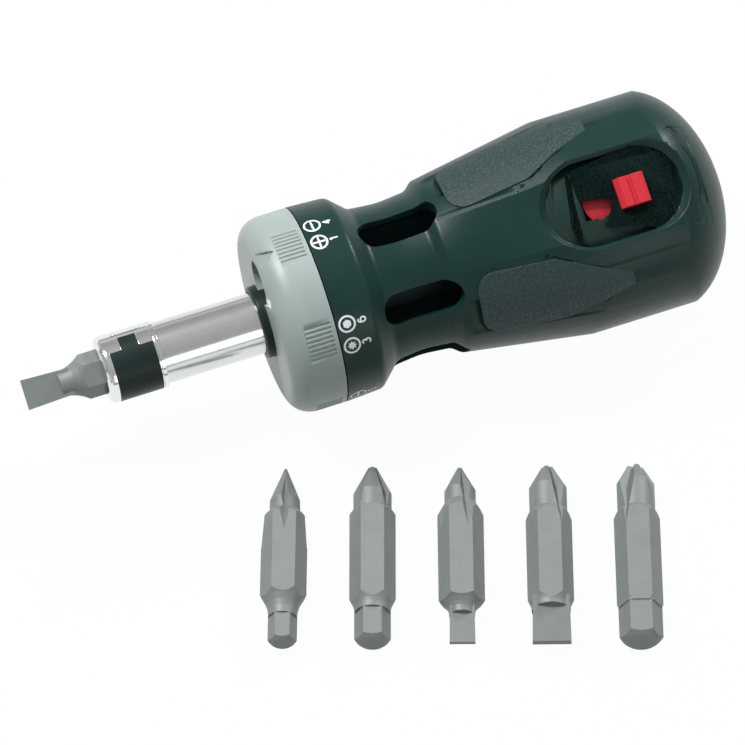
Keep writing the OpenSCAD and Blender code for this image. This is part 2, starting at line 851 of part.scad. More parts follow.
module pawl_form() {
    along = atan2(head_mid[1] - pivot[1], head_mid[0] - pivot[0]);
    inner_r = wheel_r + arm_play;
    translate([0, 0, pawl_front]) difference() {
        linear_extrude(pawl_len) union() {
            translate(pivot) circle(r = pawl_boss_r);
            polygon([
                pivot + polar(pawl_boss_r, along - 90),
                polar(inner_r, nose_turn + arm_upper_turn),
                polar(inner_r, nose_turn - arm_lower_turn),
                [head_x, head_low],
                [head_x, head_high],
                pivot + polar(pawl_boss_r, along + 90)
            ]);
            polygon([
                polar(nose_tip_r, nose_turn),
                polar(inner_r + nose_over, nose_turn - nose_base_turn),
                polar(inner_r + nose_over, nose_turn + nose_base_turn)
            ]);
        }
        translate([pivot[0], pivot[1], -over])
            cylinder(r = pawl_pin_r + run, h = pawl_len + 2 * over);
    }
    translate([head_x - over, finger_y, finger_z]) rotate([0, 90, 0])
        cylinder(r = finger_r, h = finger_tip - head_x + over, $fn = 32);
}
module pawl_forward() {
    in_row() color("#8a9090") pawl_form();
}
module pawl_reverse() {
    in_row() color("#8a9090") mirror([0, 1, 0])
        translate(pivot) rotate([0, 0, pawl_lift]) translate(-pivot) pawl_form();
}
module spring_forward() {
    in_row() color("#9aa0a0") translate([head_x, pawl_spring_y, pawl_spring_z])
        rotate([0, 90, 0]) coil(pawl_coil_r, spring_floor - head_x, pawl_turns);
}
module spring_reverse() {
    in_row() color("#9aa0a0")
        translate([head_x + reverse_lift, -pawl_spring_y, pawl_spring_z])
            rotate([0, 90, 0])
                coil(pawl_coil_r, spring_floor - head_x - reverse_lift, pawl_turns);
}

// Switch
module switch_plate() {
    in_row() color("#24403c") difference() {
        intersection() {
            translate([0, 0, switch_z]) oval(plate_len, plate_w, core_r, corner_r);
            tube(plate_top, plate_under, butt_z);
        }
        radial_box(core_r, corner_r, block_w + 2 * window_play,
            window_front_z, window_front_z + window_l);
        for (i = [0 : 2], side = [-1, 1])
            translate([core_r, side * scallop_y, scallop_z - i * switch_travel / 2])
                rotate([0, 90, 0])
                    cylinder(r = scallop_r, h = corner_r - core_r, $fn = 32);
    }
}
module switch_slider() {
    block_mid = (block_front + block_rear) / 2;
    in_row() color("#d0202f") {
        intersection() {
            translate([0, 0, (base_front + base_rear) / 2])
                oval(base_rear - base_front, base_w, base_under, plate_top);
            cylinder(r = base_top, h = butt_z);
        }
        difference() {
            radial_box(base_under, block_top, block_w, block_front, block_rear);
            for (z = [block_mid, block_rear])
                translate([block_top, 0, z]) rotate([90, 0, 0])
                    cylinder(r = thumb_groove_r, h = 2 * block_w, center = true, $fn = 32);
            translate([block_top, 0, block_front]) rotate([0, 45, 0])
                cube([thumb_ramp, 2 * block_w, thumb_ramp], center = true);
        }
    }
}
module cam_slot() {
    m = finger_r + cam_play;
    low = finger_y - m;
    polygon([
        [finger_z - m, low], [finger_z, low],
        [finger_z + switch_travel, low + finger_shift],
        [finger_z + switch_travel + m, low + finger_shift],
        [finger_z + switch_travel + m, cam_outer], [finger_z - m, cam_outer]
    ]);
}
module cam_plate() {
    in_row() color("#8a9090") translate([cam_under, 0, 0]) rotate([0, -90, 0])
        mirror([0, 0, 1]) linear_extrude(cam_t) difference() {
            translate([cam_front, -cam_half])
                square([cam_rear - cam_front, 2 * cam_half]);
            cam_slot();
            translate([2 * finger_z + switch_travel, 0]) mirror([1, 0])
                mirror([0, 1]) cam_slot();
        }
}

// Double-ended bits, with the cross end at zero
module cross_end(wing_r, root_end) {
    tilt = atan((wing_r - cross_root) / root_end);
    around(4, 90, 45) translate([cross_root, 0, 0]) rotate([0, tilt, 0])
        rotate([0, 0, -45]) translate([0, 0, -over])
            cube([bit_af, bit_af, root_end + bit_af]);
}
module bit_shank(s, cross_turn) {
    r = bit_ac / 2;
    wing_r = s[5] * r;
    neck_r = s[6] * r;
    z = [for (i = [0 : 4]) s[i] * bit_len];
    difference() {
        intersection() {
            hex_rod(bit_af, bit_len);
            rotate_extrude() polygon(concat(
                [[0, 0], [s[7] * r, 0], [wing_r, z[0]], [wing_r, z[1]], [r, z[2]]],
                [for (i = [0 : neck_steps])
                    let (t = i / neck_steps)
                    [neck_r + (r - neck_r) * pow(1 - t, 2), z[3] + (z[4] - z[3]) * t]],
                [[neck_r, z[4] + neck_sink], [0, z[4] + neck_sink]]
            ));
        }
        rotate([0, 0, cross_turn]) cross_end(wing_r, z[2]);
    }
}
module hex_end(af, z0) {
    translate([0, 0, z0]) intersection() {
        hex_rod(af, bit_len - z0);
        rotate_extrude() polygon([[0, 0], [af, 0], [af, bit_len - z0 - af / 2],
            [af * hex_chamfer_share, bit_len - z0], [0, bit_len - z0]]);
    }
}
module blade_end(w0, w1, t0, t1, z0) {
    intersection() {
        rotate([90, 0, 0]) translate([0, 0, -bit_af])
            linear_extrude(2 * bit_af) polygon([[-w0 / 2, z0], [w0 / 2, z0],
                [w1 / 2, bit_len], [-w1 / 2, bit_len]]);
        rotate([90, 0, 90]) translate([0, 0, -bit_af])
            linear_extrude(2 * bit_af) polygon([[-t0 / 2, z0], [t0 / 2, z0],
                [t1 / 2, bit_len], [-t1 / 2, bit_len]]);
    }
}
module hex_bit(s, cross_turn, af_share) {
    color("#7f8581") {
        bit_shank(s, cross_turn);
        hex_end(bit_af * af_share, s[3] * bit_len);
    }
}
module slot_bit(s, cross_turn, w0_share, w1_share, t_share) {
    color("#7f8581") {
        bit_shank(s, cross_turn);
        blade_end(bit_af * w0_share, bit_af * w1_share, 2 * s[6] * bit_ac / 2 * blade_root_share,
            bit_af * t_share, s[8] * bit_len);
    }
}
module laid(i) {
    translate([axis_x, axis_y, bit_af / 2]) rotate([0, 0, -loose_turn])
        translate([loose_mid + (i - 2) * loose_pitch, -loose_row, 0])
            rotate([0, 0, loose_lean[i]]) rotate([90, 0, 0])
                translate([0, 0, -bit_len / 2]) children();
}
module bit_slot_5() {
    in_row() translate([0, 0, bit_end]) rotate([0, 0, chuck_turn - 90])
        rotate([180, 0, 0]) slot_bit(slot_5_shares, 0, 0.669, 0.772, 0.14);
}
module bit_hex_4() {
    laid(0) hex_bit(hex_4_shares, 45, 0.63);
}
module bit_hex_5() {
    laid(1) hex_bit(hex_5_shares, 0, 0.787);
}
module bit_slot_4() {
    laid(2) slot_bit(slot_4_shares, 25, 0.6, 0.638, 0.11);
}
module bit_slot_6() {
    laid(3) slot_bit(slot_6_shares, 12, 0.9, 0.96, 0.17);
}
module bit_hex_6() {
    laid(4) hex_bit(hex_6_shares, -14, 0.945);
}

handle_shell();
thumb_pads();
magazine_core();
core_screws();
front_bush();
selector_ring();
ring_retainer();
ring_detent_ball();
ring_detent_spring();
spindle();
chuck_sleeve();
chuck_clip();
socket_magnet();
ratchet_wheel();
wheel_circlip();
housing_cover();
ratchet_housing();
rear_bearing();
pawl_forward();
pawl_reverse();
pawl_pins();
spring_forward();
spring_reverse();
switch_plate();
switch_slider();
cam_plate();
bit_slot_5();
bit_hex_4();
bit_hex_5();
bit_slot_4();
bit_slot_6();
bit_hex_6();
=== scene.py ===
"""A ratcheting screwdriver on a pale surface, above a row of its loose bits.

The looks of every node, the print on the collar, and the pieces that stand for
four of the nodes.
"""

import json
import math

import bmesh
import bpy
from mathutils import Matrix, Vector


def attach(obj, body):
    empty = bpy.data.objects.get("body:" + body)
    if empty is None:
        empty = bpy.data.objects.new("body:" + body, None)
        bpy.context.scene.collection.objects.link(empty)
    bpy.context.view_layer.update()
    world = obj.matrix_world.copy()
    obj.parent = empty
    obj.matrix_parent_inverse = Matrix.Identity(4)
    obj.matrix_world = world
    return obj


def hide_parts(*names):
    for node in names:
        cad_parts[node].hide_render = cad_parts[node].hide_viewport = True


MM = 0.001

# The tool's own frame: origin on its axis at the collar's front face, z along
# the axis to the butt, x out through the switch
AXIS_JOINT = "shank_turn"
SWITCH_SIDE_JOINT = "detent_press"

# Print on the collar, in millimetres: circles near the front, digits behind
COLLAR_R = 16.2
COLLAR_DRAFT = 0.3
COLLAR_LEN = 6.2
PRINT_PROUD = 0.02
ICON_Z = 1.72
DIGIT_Z = 4.13
ICON_R = 1.27
ICON_LINE = 0.33
DIGIT_H = 1.3
DIGIT_W = 0.8
DIGIT_LINE = 0.27
STEP_MM = 0.3
PAIR_HALF_TURN = 6.7
PAIR_TURNS = (-33.3, 31, 90, 150, 210, 270)

# Each window's two signs, one for each end of the bit that it stores
WINDOW_SIGNS = [
    (("slot", 4), ("cross", 1)),
    (("hexagon", 6), ("star", 3)),
    (("slot", 5), ("cross", 2)),
    (("hexagon", 4), ("cross", 1)),
    (("hexagon", 5), ("cross", 2)),
    (("slot", 6), ("cross", 3)),
]

# The camera, which stands where the photographer stood
VIEW_TURN = math.radians(-19.1)
VIEW_HEIGHT = math.radians(58)
VIEW_DISTANCE = 1.2
VIEW_LENS = 364
VIEW_SENSOR = 36
AIM_RIGHT = 9.1
AIM_DOWN = 10.8

# The room's light near the horizon and overhead: what falls on the object, and
# what shows in its gloss
FALL_LOW = 0.12
FALL_HIGH = 0.4
FALL_TINT = (0.86, 1, 0.98)
GLOSS_BANDS = ((0, 0.2), (0.06, 0.2), (0.12, 0.6), (0.3, 0.62), (0.42, 0.36), (0.75, 0.42),
               (1, 0.5))

# The floor, in metres, its greys, and how it glows for the camera and in gloss
FLOOR_SIZE = 6
FLOOR_GREYS = ((0.3, 0.3, 0.3), (0.32, 0.32, 0.32))
FLOOR_GLOW = 1.03
FLOOR_GLOW_SHARE = 0.94

# Each lamp's name, place in metres, width and power
LAMPS = (
    ("key", (-0.34, 0.4, 0.84), 0.25, 10),
    ("back", (0.66, 0.38, 0.5), 0.15, 4),
    ("fill", (0.25, -0.75, 0.3), 0.4, 1.2),
)

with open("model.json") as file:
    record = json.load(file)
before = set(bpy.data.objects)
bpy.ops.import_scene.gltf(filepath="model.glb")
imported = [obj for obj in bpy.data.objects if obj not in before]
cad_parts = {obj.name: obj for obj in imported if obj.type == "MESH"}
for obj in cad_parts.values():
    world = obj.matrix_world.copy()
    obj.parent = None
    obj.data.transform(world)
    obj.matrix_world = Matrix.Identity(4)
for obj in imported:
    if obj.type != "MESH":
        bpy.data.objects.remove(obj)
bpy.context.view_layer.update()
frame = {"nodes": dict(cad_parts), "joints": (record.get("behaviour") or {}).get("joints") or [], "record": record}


# Node graphs

def add(tree, kind, settings=None, **inputs):
    """Adds a shader node. An input is a value, or the output of another node to join to it."""
    made = tree.nodes.new("ShaderNode" + kind)
    for key, value in (settings or {}).items():
        setattr(made, key, value)
    for key, value in inputs.items():
        put(tree, made.inputs[key.replace("_", " ")], value)
    return made


def put(tree, socket, value):
    """Sets a socket to a value, or joins it to another node's output."""
    if isinstance(value, bpy.types.NodeSocket):
        tree.links.new(value, socket)
    else:
        socket.default_value = value


def maths(tree, operation, a, b=0.0, clamp=False):
    """The output of a Math node."""
    made = tree.nodes.new("ShaderNodeMath")
    made.operation = operation
    made.use_clamp = clamp
    put(tree, made.inputs[0], a)
    put(tree, made.inputs[1], b)
    return made.outputs[0]


def rgb(colour):
    """A colour with an alpha of one."""
    return (*colour, 1.0)


def blend_colour(tree, share, first, second):
    """The output of a Mix node between two colours."""
    made = tree.nodes.new("ShaderNodeMix")
    made.data_type = "RGBA"
    put(tree, made.inputs["Factor"], share)
    put(tree, made.inputs[6], first if isinstance(first, bpy.types.NodeSocket) else rgb(first))
    put(tree, made.inputs[7], second if isinstance(second, bpy.types.NodeSocket) else rgb(second))
    return made.outputs[2]


def between(tree, value, low, high, out_low=0.0, out_high=1.0):
    """Maps a value from one range to another, and holds it at the ends."""
    return add(tree, "MapRange", None, Value=value, From_Min=low, From_Max=high,
               To_Min=out_low, To_Max=out_high).outputs[0]


def bands(tree, value, stops):
    """Greys that follow a value through places between zero and one."""
    made = add(tree, "ValToRGB", None, Fac=value)
    ramp = made.color_ramp.elements
    while len(ramp) < len(stops):
        ramp.new(1)
    for element, (place, grey) in zip(ramp, stops):
        element.position = place
        element.color = (grey, grey, grey, 1)
    return made.outputs[0]


def pick(tree, share, first, second):
    """The output of a Mix node between two numbers."""
    made = add(tree, "Mix")
    put(tree, made.inputs[0], share)
    put(tree, made.inputs[2], first)
    put(tree, made.inputs[3], second)
    return made.outputs[0]


def place_mm(tree, stretch=(1, 1, 1)):
    """The point on the surface in millimetres, stretched along the tool's own directions."""
    coords = add(tree, "TexCoord").outputs["Object"]
    here = add(tree, "Mapping", {"vector_type": "TEXTURE"}, Vector=coords,
               Rotation=tool_frame.to_euler(), Location=tool_frame.translation).outputs[0]
    return add(tree, "Mapping", None, Vector=here,
               Scale=[s / MM for s in stretch]).outputs[0]


def noise(tree, where, scale, detail=3.0, roughness=0.55):
    """The grey output of a Noise texture."""
    return add(tree, "TexNoise", None, Vector=where, Scale=scale, Detail=detail,
               Roughness=roughness).outputs[0]


def cells(tree, where, scale, smooth=0.4):
    """The distance output of a smooth Voronoi texture."""
    return add(tree, "TexVoronoi", {"feature": "SMOOTH_F1"}, Vector=where, Scale=scale,
               Smoothness=smooth).outputs["Distance"]


def bump(tree, height, distance, base=None, strength=1.0):
    """The normal from a height, in millimetres, on top of another normal."""
    made = add(tree, "Bump", None, Height=height, Distance=distance * MM, Strength=strength)
    if base is not None:
        put(tree, made.inputs["Normal"], base)
    return made.outputs[0]


def soft_edge(tree, radius):
    """A normal that rounds sharp edges by a radius in millimetres."""
    return add(tree, "Bevel", {"samples": 4}, Radius=radius * MM).outputs[0]


def edge_share(tree, radius):
    """Near one along sharp edges, and zero elsewhere."""
    rounded = soft_edge(tree, radius)
    plain = add(tree, "NewGeometry").outputs["Normal"]
    across = add(tree, "VectorMath", {"operation": "DOT_PRODUCT"})
    put(tree, across.inputs[0], rounded)
    put(tree, across.inputs[1], plain)
    return between(tree, across.outputs["Value"], 0.995, 0.85)


def surface(name, **sockets):
    """A new material, its tree and its Principled shader with these sockets set."""
    material = bpy.data.materials.new(name)
    material.use_nodes = True
    tree = material.node_tree
    shader = tree.nodes["Principled BSDF"]
    for key, value in sockets.items():
        shader.inputs[key.replace("_", " ")].default_value = value
    return material, tree, shader


def finish_surface(tree, shader, colour, roughness, normal, metallic=None):
    """Joins the worked-out values to the shader."""
    put(tree, shader.inputs["Base Color"], colour)
    put(tree, shader.inputs["Roughness"], roughness)
    put(tree, shader.inputs["Normal"], normal)
    if metallic is not None:
        put(tree, shader.inputs["Metallic"], metallic)


# Where the tool lies

def joint_of(name):
    """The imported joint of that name."""
    return next(j for j in frame["joints"] if j["name"] == name)


def tool_matrix():
    """Takes a point in the tool's own frame, in metres, to the row frame."""
    z = Vector(joint_of(AXIS_JOINT)["axis"]).normalized()
    x = Vector(joint_of(SWITCH_SIDE_JOINT)["axis"])
    x = (x - z * x.dot(z)).normalized()
    y = z.cross(x)
    axes = Matrix((x, y, z)).transposed().to_4x4()
    return Matrix.Translation(joint_of(AXIS_JOINT)["pos_m"]) @ axes


def on_collar(turn, along, z):
    """A point on the collar: a turn in degrees, a length round it and one behind its face."""
    radius = COLLAR_R - COLLAR_DRAFT * z / COLLAR_LEN + PRINT_PROUD
    angle = math.radians(turn) + along / COLLAR_R
    return tool_frame @ (Vector((radius * math.cos(angle), radius * math.sin(angle), z)) * MM)


tool_frame = tool_matrix()


# Materials

def moulded_plastic(name, colour, sheen_colour, roughness, grain, grain_height, edge=0.12,
                    shine=0.2):
    """Moulded plastic with a fine grain, faint cloudiness and edges that handling has polished, their colour
    lightened as a painted highlight.
    """
    material, tree, shader = surface(name, Specular_IOR_Level=shine)
    where = place_mm(tree)
    cloud = noise(tree, where, 0.12, 4)
    fine = noise(tree, where, grain, 2)
    worn_and_sheen = edge_share(tree, edge)
    tone = blend_colour(tree, between(tree, cloud, 0.3, 0.7), colour, sheen_colour)
    # Painted highlight: the edges are lightened in colour; the lower roughness there below is real polish.
    tone = blend_colour(tree, maths(tree, "MULTIPLY", worn_and_sheen, 0.35), tone,
                        [min(1, 2.2 * c + 0.02) for c in colour])
    rough = maths(tree, "ADD", roughness, between(tree, fine, 0.3, 0.7, -0.06, 0.06))
    rough = maths(tree, "SUBTRACT", rough, maths(tree, "MULTIPLY", worn_and_sheen, 0.12), True)
    normal = bump(tree, fine, grain_height, soft_edge(tree, edge))
    finish_surface(tree, shader, tone, rough, normal)
    return material


def stippled_rubber(name, colour, peak_highlight_colour):
    """Soft rubber with small raised dots, their tops painted lighter as a highlight."""
    material, tree, shader = surface(name, Specular_IOR_Level=0.45)
    where = place_mm(tree)
    dots = between(tree, cells(tree, where, 2.1, 0.25), 0.55, 0.1)
    fine = noise(tree, where, 5, 2)
    # Painted highlight: the dots' tops are lighter in colour; their raised bump is real.
    tone = blend_colour(tree, maths(tree, "MULTIPLY", dots, 0.6), colour, peak_highlight_colour)
    rough = between(tree, fine, 0.3, 0.7, 0.5, 0.66)
    normal = bump(tree, fine, 0.01, bump(tree, dots, 0.09, soft_edge(tree, 0.15)))
    finish_surface(tree, shader, tone, rough, normal)
    return material


def metal(name, colour, dark, roughness, streaks=(1, 1, 1), streak_height=0.004, edge=0.1,
          metallic=1.0, spots=0.3):
    """Metal with fine marks along one direction, faint stains and bright edges."""
    material, tree, shader = surface(name, Metallic=metallic)
    marks = noise(tree, place_mm(tree, streaks), 2.2, 5, 0.65)
    stain = noise(tree, place_mm(tree), 0.35, 5)
    worn_and_sheen = edge_share(tree, edge)
    tone = blend_colour(tree, maths(tree, "MULTIPLY", between(tree, stain, 0.45, 0.75), spots),
                        colour, dark)
    tone = blend_colour(tree, maths(tree, "MULTIPLY", worn_and_sheen, 0.4), tone,
                        [min(1, 1.35 * c + 0.05) for c in colour])
    rough = maths(tree, "ADD", roughness, between(tree, marks, 0.25, 0.75, -0.05, 0.08), True)
    normal = bump(tree, marks, streak_height, soft_edge(tree, edge))
    finish_surface(tree, shader, tone, rough, normal)
    return material


def switch_plastic(name, colour, deep_colour):
    """Red moulded plastic, with a little light carried under its surface."""
    material, tree, shader = surface(name, Subsurface_Weight=0.12, Subsurface_Scale=0.0008,
                                     Specular_IOR_Level=0.5)
    where = place_mm(tree)
    fine = noise(tree, where, 3.5, 3)
    tone = blend_colour(tree, between(tree, fine, 0.35, 0.7), colour, deep_colour)
    rough = between(tree, fine, 0.3, 0.7, 0.34, 0.48)
    normal = bump(tree, fine, 0.012, soft_edge(tree, 0.15))
    finish_surface(tree, shader, tone, rough, normal)
    return material


def print_ink(name):
    """White pad-printing ink, a little uneven where it went on thin."""
    material, tree, shader = surface(name, Specular_IOR_Level=0.3)
    patchy = noise(tree, place_mm(tree), 3, 4, 0.7)
    tone = blend_colour(tree, between(tree, patchy, 0.55, 0.8), (0.82, 0.86, 0.86),
                        (0.5, 0.56, 0.57))
    finish_surface(tree, shader, tone, between(tree, patchy, 0.3, 0.7, 0.45, 0.6),
                   bump(tree, patchy, 0.01))
    return material


ROUND_MARKS = (0.4, 0.4, 9)
LONG_MARKS = (9, 9, 0.4)

LOOKS = {
    "handle_plastic": moulded_plastic("handle_plastic", (0.006, 0.028, 0.025),
                                      (0.009, 0.033, 0.03), 0.36, 3.2, 0.012),
    # pad_rubber's second colour is a painted highlight on the tops of its dots.
    "pad_rubber": stippled_rubber("pad_rubber", (0.01, 0.03, 0.03), (0.04, 0.075, 0.08)),
    "core_plastic": moulded_plastic("core_plastic", (0.005, 0.02, 0.017),
                                    (0.008, 0.025, 0.022), 0.5, 3, 0.012),
    "zinc_steel": metal("zinc_steel", (0.6, 0.6, 0.58), (0.4, 0.39, 0.34), 0.32),
    "bush_plastic": moulded_plastic("bush_plastic", (0.008, 0.018, 0.017),
                                    (0.012, 0.024, 0.023), 0.36, 4, 0.008),
    "ring_plastic": moulded_plastic("ring_plastic", (0.285, 0.335, 0.325), (0.33, 0.375, 0.365),
                                    0.42, 4, 0.01, shine=0.5),
    "spring_steel": metal("spring_steel", (0.62, 0.62, 0.6), (0.35, 0.34, 0.32), 0.25),
    "shank_chrome": metal("shank_chrome", (0.74, 0.76, 0.76), (0.6, 0.62, 0.62), 0.17,
                          ROUND_MARKS, 0.003),
    "chuck_chrome": metal("chuck_chrome", (0.82, 0.84, 0.84), (0.7, 0.72, 0.72), 0.1,
                          ROUND_MARKS, 0.002),
    "magnet": metal("magnet", (0.45, 0.45, 0.46), (0.3, 0.3, 0.3), 0.3),
    "dark_steel": metal("dark_steel", (0.3, 0.31, 0.32), (0.16, 0.16, 0.16), 0.36),
    "bronze": metal("bronze", (0.58, 0.38, 0.16), (0.34, 0.2, 0.08), 0.42),
    "plate_plastic": moulded_plastic("plate_plastic", (0.009, 0.026, 0.023),
                                     (0.013, 0.032, 0.028), 0.45, 3.4, 0.014),
    "switch_red": switch_plastic("switch_red", (0.62, 0.018, 0.035), (0.5, 0.012, 0.025)),
    "bit_steel": metal("bit_steel", (0.2, 0.215, 0.2), (0.16, 0.18, 0.165), 0.5, LONG_MARKS,
                       0.006, 0.1, 0.12, 0.5),
}


# Flat outlines, as lists of points

def arc(centre, radius, start, end, steps=24):
    """Points along an arc, between two angles in degrees."""
    turns = [math.radians(start + (end - start) * i / steps) for i in range(steps + 1)]
    return [(centre[0] + radius * math.cos(t), centre[1] + radius * math.sin(t)) for t in turns]


def regular(count, radius, turn=0.0, inner=None):
    """Points of a regular polygon, or of a star where an inner radius is given."""
    points = []
    for i in range(count):
        angle = math.radians(turn + 360 * i / count)
        points.append((radius * math.cos(angle), radius * math.sin(angle)))
        if inner is not None:
            angle += math.pi / count
            points.append((inner * math.cos(angle), inner * math.sin(angle)))
    return points


# Solids of this script's own pieces, in millimetres in the tool's own frame

# Vertices of a CAD mesh that lie nearer than this, in metres, are one
JOIN_DISTANCE = MM / 10000
# How far a cutter reaches past what it cuts
OVER = 1

def solid(name, points, faces):
    """A mesh object in the row frame."""
    data = bpy.data.meshes.new(name)
    data.from_pydata([tool_frame @ (Vector(p) * MM) for p in points], [], faces)
    made = bpy.data.objects.new(name, data)
    bpy.context.scene.collection.objects.link(made)
    return made


def cad_solid(node):
    """A copy of a CAD node's mesh with its vertices joined."""
    source = frame["nodes"][node]
    data = source.data.copy()
    data.transform(source.matrix_world)
    joined = bmesh.new()
    joined.from_mesh(data)
    bmesh.ops.remove_doubles(joined, verts=joined.verts, dist=JOIN_DISTANCE)
    joined.to_mesh(data)
    joined.free()
    made = bpy.data.objects.new(node + "_copy", data)
    bpy.context.scene.collection.objects.link(made)
    return made


def turned(name, outline, steps=128):
    """A solid turned round the axis from a closed outline of radii and stations."""
    points, rings = [], []
    for radius, z in outline:
        first = len(points)
        if radius == 0:
            points.append((0, 0, z))
            rings.append([first] * steps)
        else:
            points += [(x, y, z) for x, y in regular(steps, radius)]
            rings.append(list(range(first, first + steps)))
    faces = []
    for ring, after in zip(rings, rings[1:] + rings[:1]):
        for i in range(steps):
            j = (i + 1) % steps
            face = list(dict.fromkeys((ring[i], ring[j], after[j], after[i])))
            if len(face) > 2:
                faces.append(face)
    return solid(name, points, faces)


def lofted(name, layers, places):
    """Solids through the same layers, each a flat outline and its height, at several places."""
    count = len(layers[0][0])
    points, faces = [], []
    for place in places:
        at = len(points)
        points += [place @ Vector((x, y, z)) for outline, z in layers for x, y in outline]
        made = [list(range(count))[::-1], [count * (len(layers) - 1) + i for i in range(count)]]
        for k in range(len(layers) - 1):
            low, high = count * k, count * (k + 1)
            made += [[low + i, low + (i + 1) % count, high + (i + 1) % count, high + i]
                     for i in range(count)]
        flip = -1 if place.to_3x3().determinant() < 0 else 1
        faces += [[at + i for i in face][::flip] for face in made]
    return solid(name, points, faces)


def prisms(name, outline, low, high, places):
    """Prisms on one flat outline, at several places."""
    return lofted(name, [(outline, low), (outline, high)], places)


def about_axis(turn):
    """A turn round the tool's axis, in degrees."""
    return Matrix.Rotation(math.radians(turn), 4, "Z")


def facing_out(turn=0, z=0, mirrored=False):
    """Lays a flat outline so that its x runs along the tool and its height runs outwards."""
    across = 1 if mirrored else -1
    return about_axis(turn) @ Matrix(((0, 0, 1, 0), (0, across, 0, 0), (1, 0, 0, z), (0, 0, 0, 1)))


def stadium(length, width, steps=24):
    """A long outline with round ends, along x."""
    half = (length - width) / 2
    return (arc((half, 0), width / 2, -90, 90, steps)
            + arc((-half, 0), width / 2, 90, 270, steps))


def carve(body, *cutters, operation="DIFFERENCE"):
    """Cuts the cutters out of the body, or joins or keeps what they share, and takes them away."""
    for cutter in cutters:
        step = body.modifiers.new("cut", "BOOLEAN")
        step.operation = operation
        step.solver = "MANIFOLD"
        step.object = cutter
    bpy.context.view_layer.update()
    graph = bpy.context.evaluated_depsgraph_get()
    shape = bpy.data.meshes.new_from_object(body.evaluated_get(graph))
    body.modifiers.clear()
    body.data = shape
    for cutter in cutters:
        bpy.data.objects.remove(cutter)
    return body


def stand_in(piece, node, part, sharp=30):
    """Lets a piece stand for a CAD node on its body, smooth but for its sharp edges."""
    slot = next(s["material_slot"] for s in frame["record"]["subparts"] if s["node"] == node)
    piece.data.polygons.foreach_set("use_smooth", [True] * len(piece.data.polygons))
    piece.data.set_sharp_from_angle(angle=math.radians(sharp))
    piece.data.materials.clear()
    piece.data.materials.append(LOOKS[slot])
    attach(piece, part)
    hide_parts(node)


# Selector ring and front bush, shaped nearer to the photograph than the CAD's

RING_R = 16.194
RING_FRONT = -8.6
RING_EDGE_Z = -4.6
RING_EDGE = (3.3, 4)
RING_REAR = -0.2
RING_BORE = 6
SKIRT_R = 14.094
DISC_REAR = -6
EXIT_R = 3.8
EXIT_TURN = -30
POCKET_R = 9.25
POCKET_TURNS = (30, 90, 150, 210, 270, 330)
ARROW = ((-1.5, 0), (2.4, -2.2), (2.4, 2.2))
ARROW_AT = (15.531, 0, -7.007)
ARROW_TILT = 121.87
ARROW_DEPTH = 0.45
RIB_R = 0.28
RIB_AT = 16.244
RIB_STEP = 2.7
RIB_COUNT = 8
RIB_SIDES = 16
RIB_ENDS = (-5.2, -0.9)
EDGE_STEPS = 16
HOLE_SIDES = 64
SEAT_MARGIN = 1
BUSH = ((5.05, -3), (5.05, -9.6), (5.3, -9.9), (5.5, -9.9))
BUSH_ROUND = ((5.5, -9.5), 0.4, -80, 0)
BUSH_STEPS = 6
BUSH_SEAT = ((5.9, -5.7), (5.39, -5.7), (5.39, -3))


def ring_piece():
    """The selector ring with its round shoulder, exit hole, arrow and ribs."""
    wide, deep = RING_EDGE
    shoulder = [(RING_R - wide + wide * x, RING_EDGE_Z - deep * y)
                for y, x in arc((0, 0), 1, 0, 90, EDGE_STEPS)]
    outline = [(RING_BORE, DISC_REAR), (RING_BORE, RING_FRONT), *shoulder,
               (RING_R, RING_REAR), (SKIRT_R, RING_REAR), (SKIRT_R, DISC_REAR)]
    low, high = SKIRT_R - SEAT_MARGIN, RING_R - SEAT_MARGIN
    inside = turned("ring_inside", [(low, DISC_REAR), (high, DISC_REAR),
                                    (high, RING_REAR), (low, RING_REAR)])
    seats = carve(inside, cad_solid("selector_ring"))
    hole = prisms("exit_hole", regular(HOLE_SIDES, EXIT_R), RING_FRONT - OVER, DISC_REAR + OVER,
                  [about_axis(EXIT_TURN) @ Matrix.Translation((POCKET_R, 0, 0))])
    arrow = prisms("arrow", ARROW, -ARROW_DEPTH, OVER,
                   [about_axis(EXIT_TURN) @ Matrix.Translation(ARROW_AT)
                    @ Matrix.Rotation(math.radians(ARROW_TILT), 4, "Y")])
    middle = (RIB_COUNT - 1) / 2
    ribs = prisms("ribs", regular(RIB_SIDES, RIB_R), *RIB_ENDS,
                  [about_axis(turn + RIB_STEP * (i - middle)) @ Matrix.Translation((RIB_AT, 0, 0))
                   for turn in POCKET_TURNS for i in range(RIB_COUNT)])
    piece = turned("ring_form", outline)
    stand_in(carve(piece, seats, hole, arrow, ribs), "selector_ring", "selector")


def bush_piece():
    """The black bush with its rounded front edge."""
    outline = [*BUSH, *arc(*BUSH_ROUND, BUSH_STEPS), *BUSH_SEAT]
    stand_in(turned("bush_form", outline), "front_bush", "handle")


# Handle shell and thumb pads, shaped nearer to the photograph than the CAD's.
# PAD_FRONT and PAD_MID are not measured: they lie between the CAD's stations
# and the ones fitted to the photograph. WALL_OUT and WALL_H are estimates.

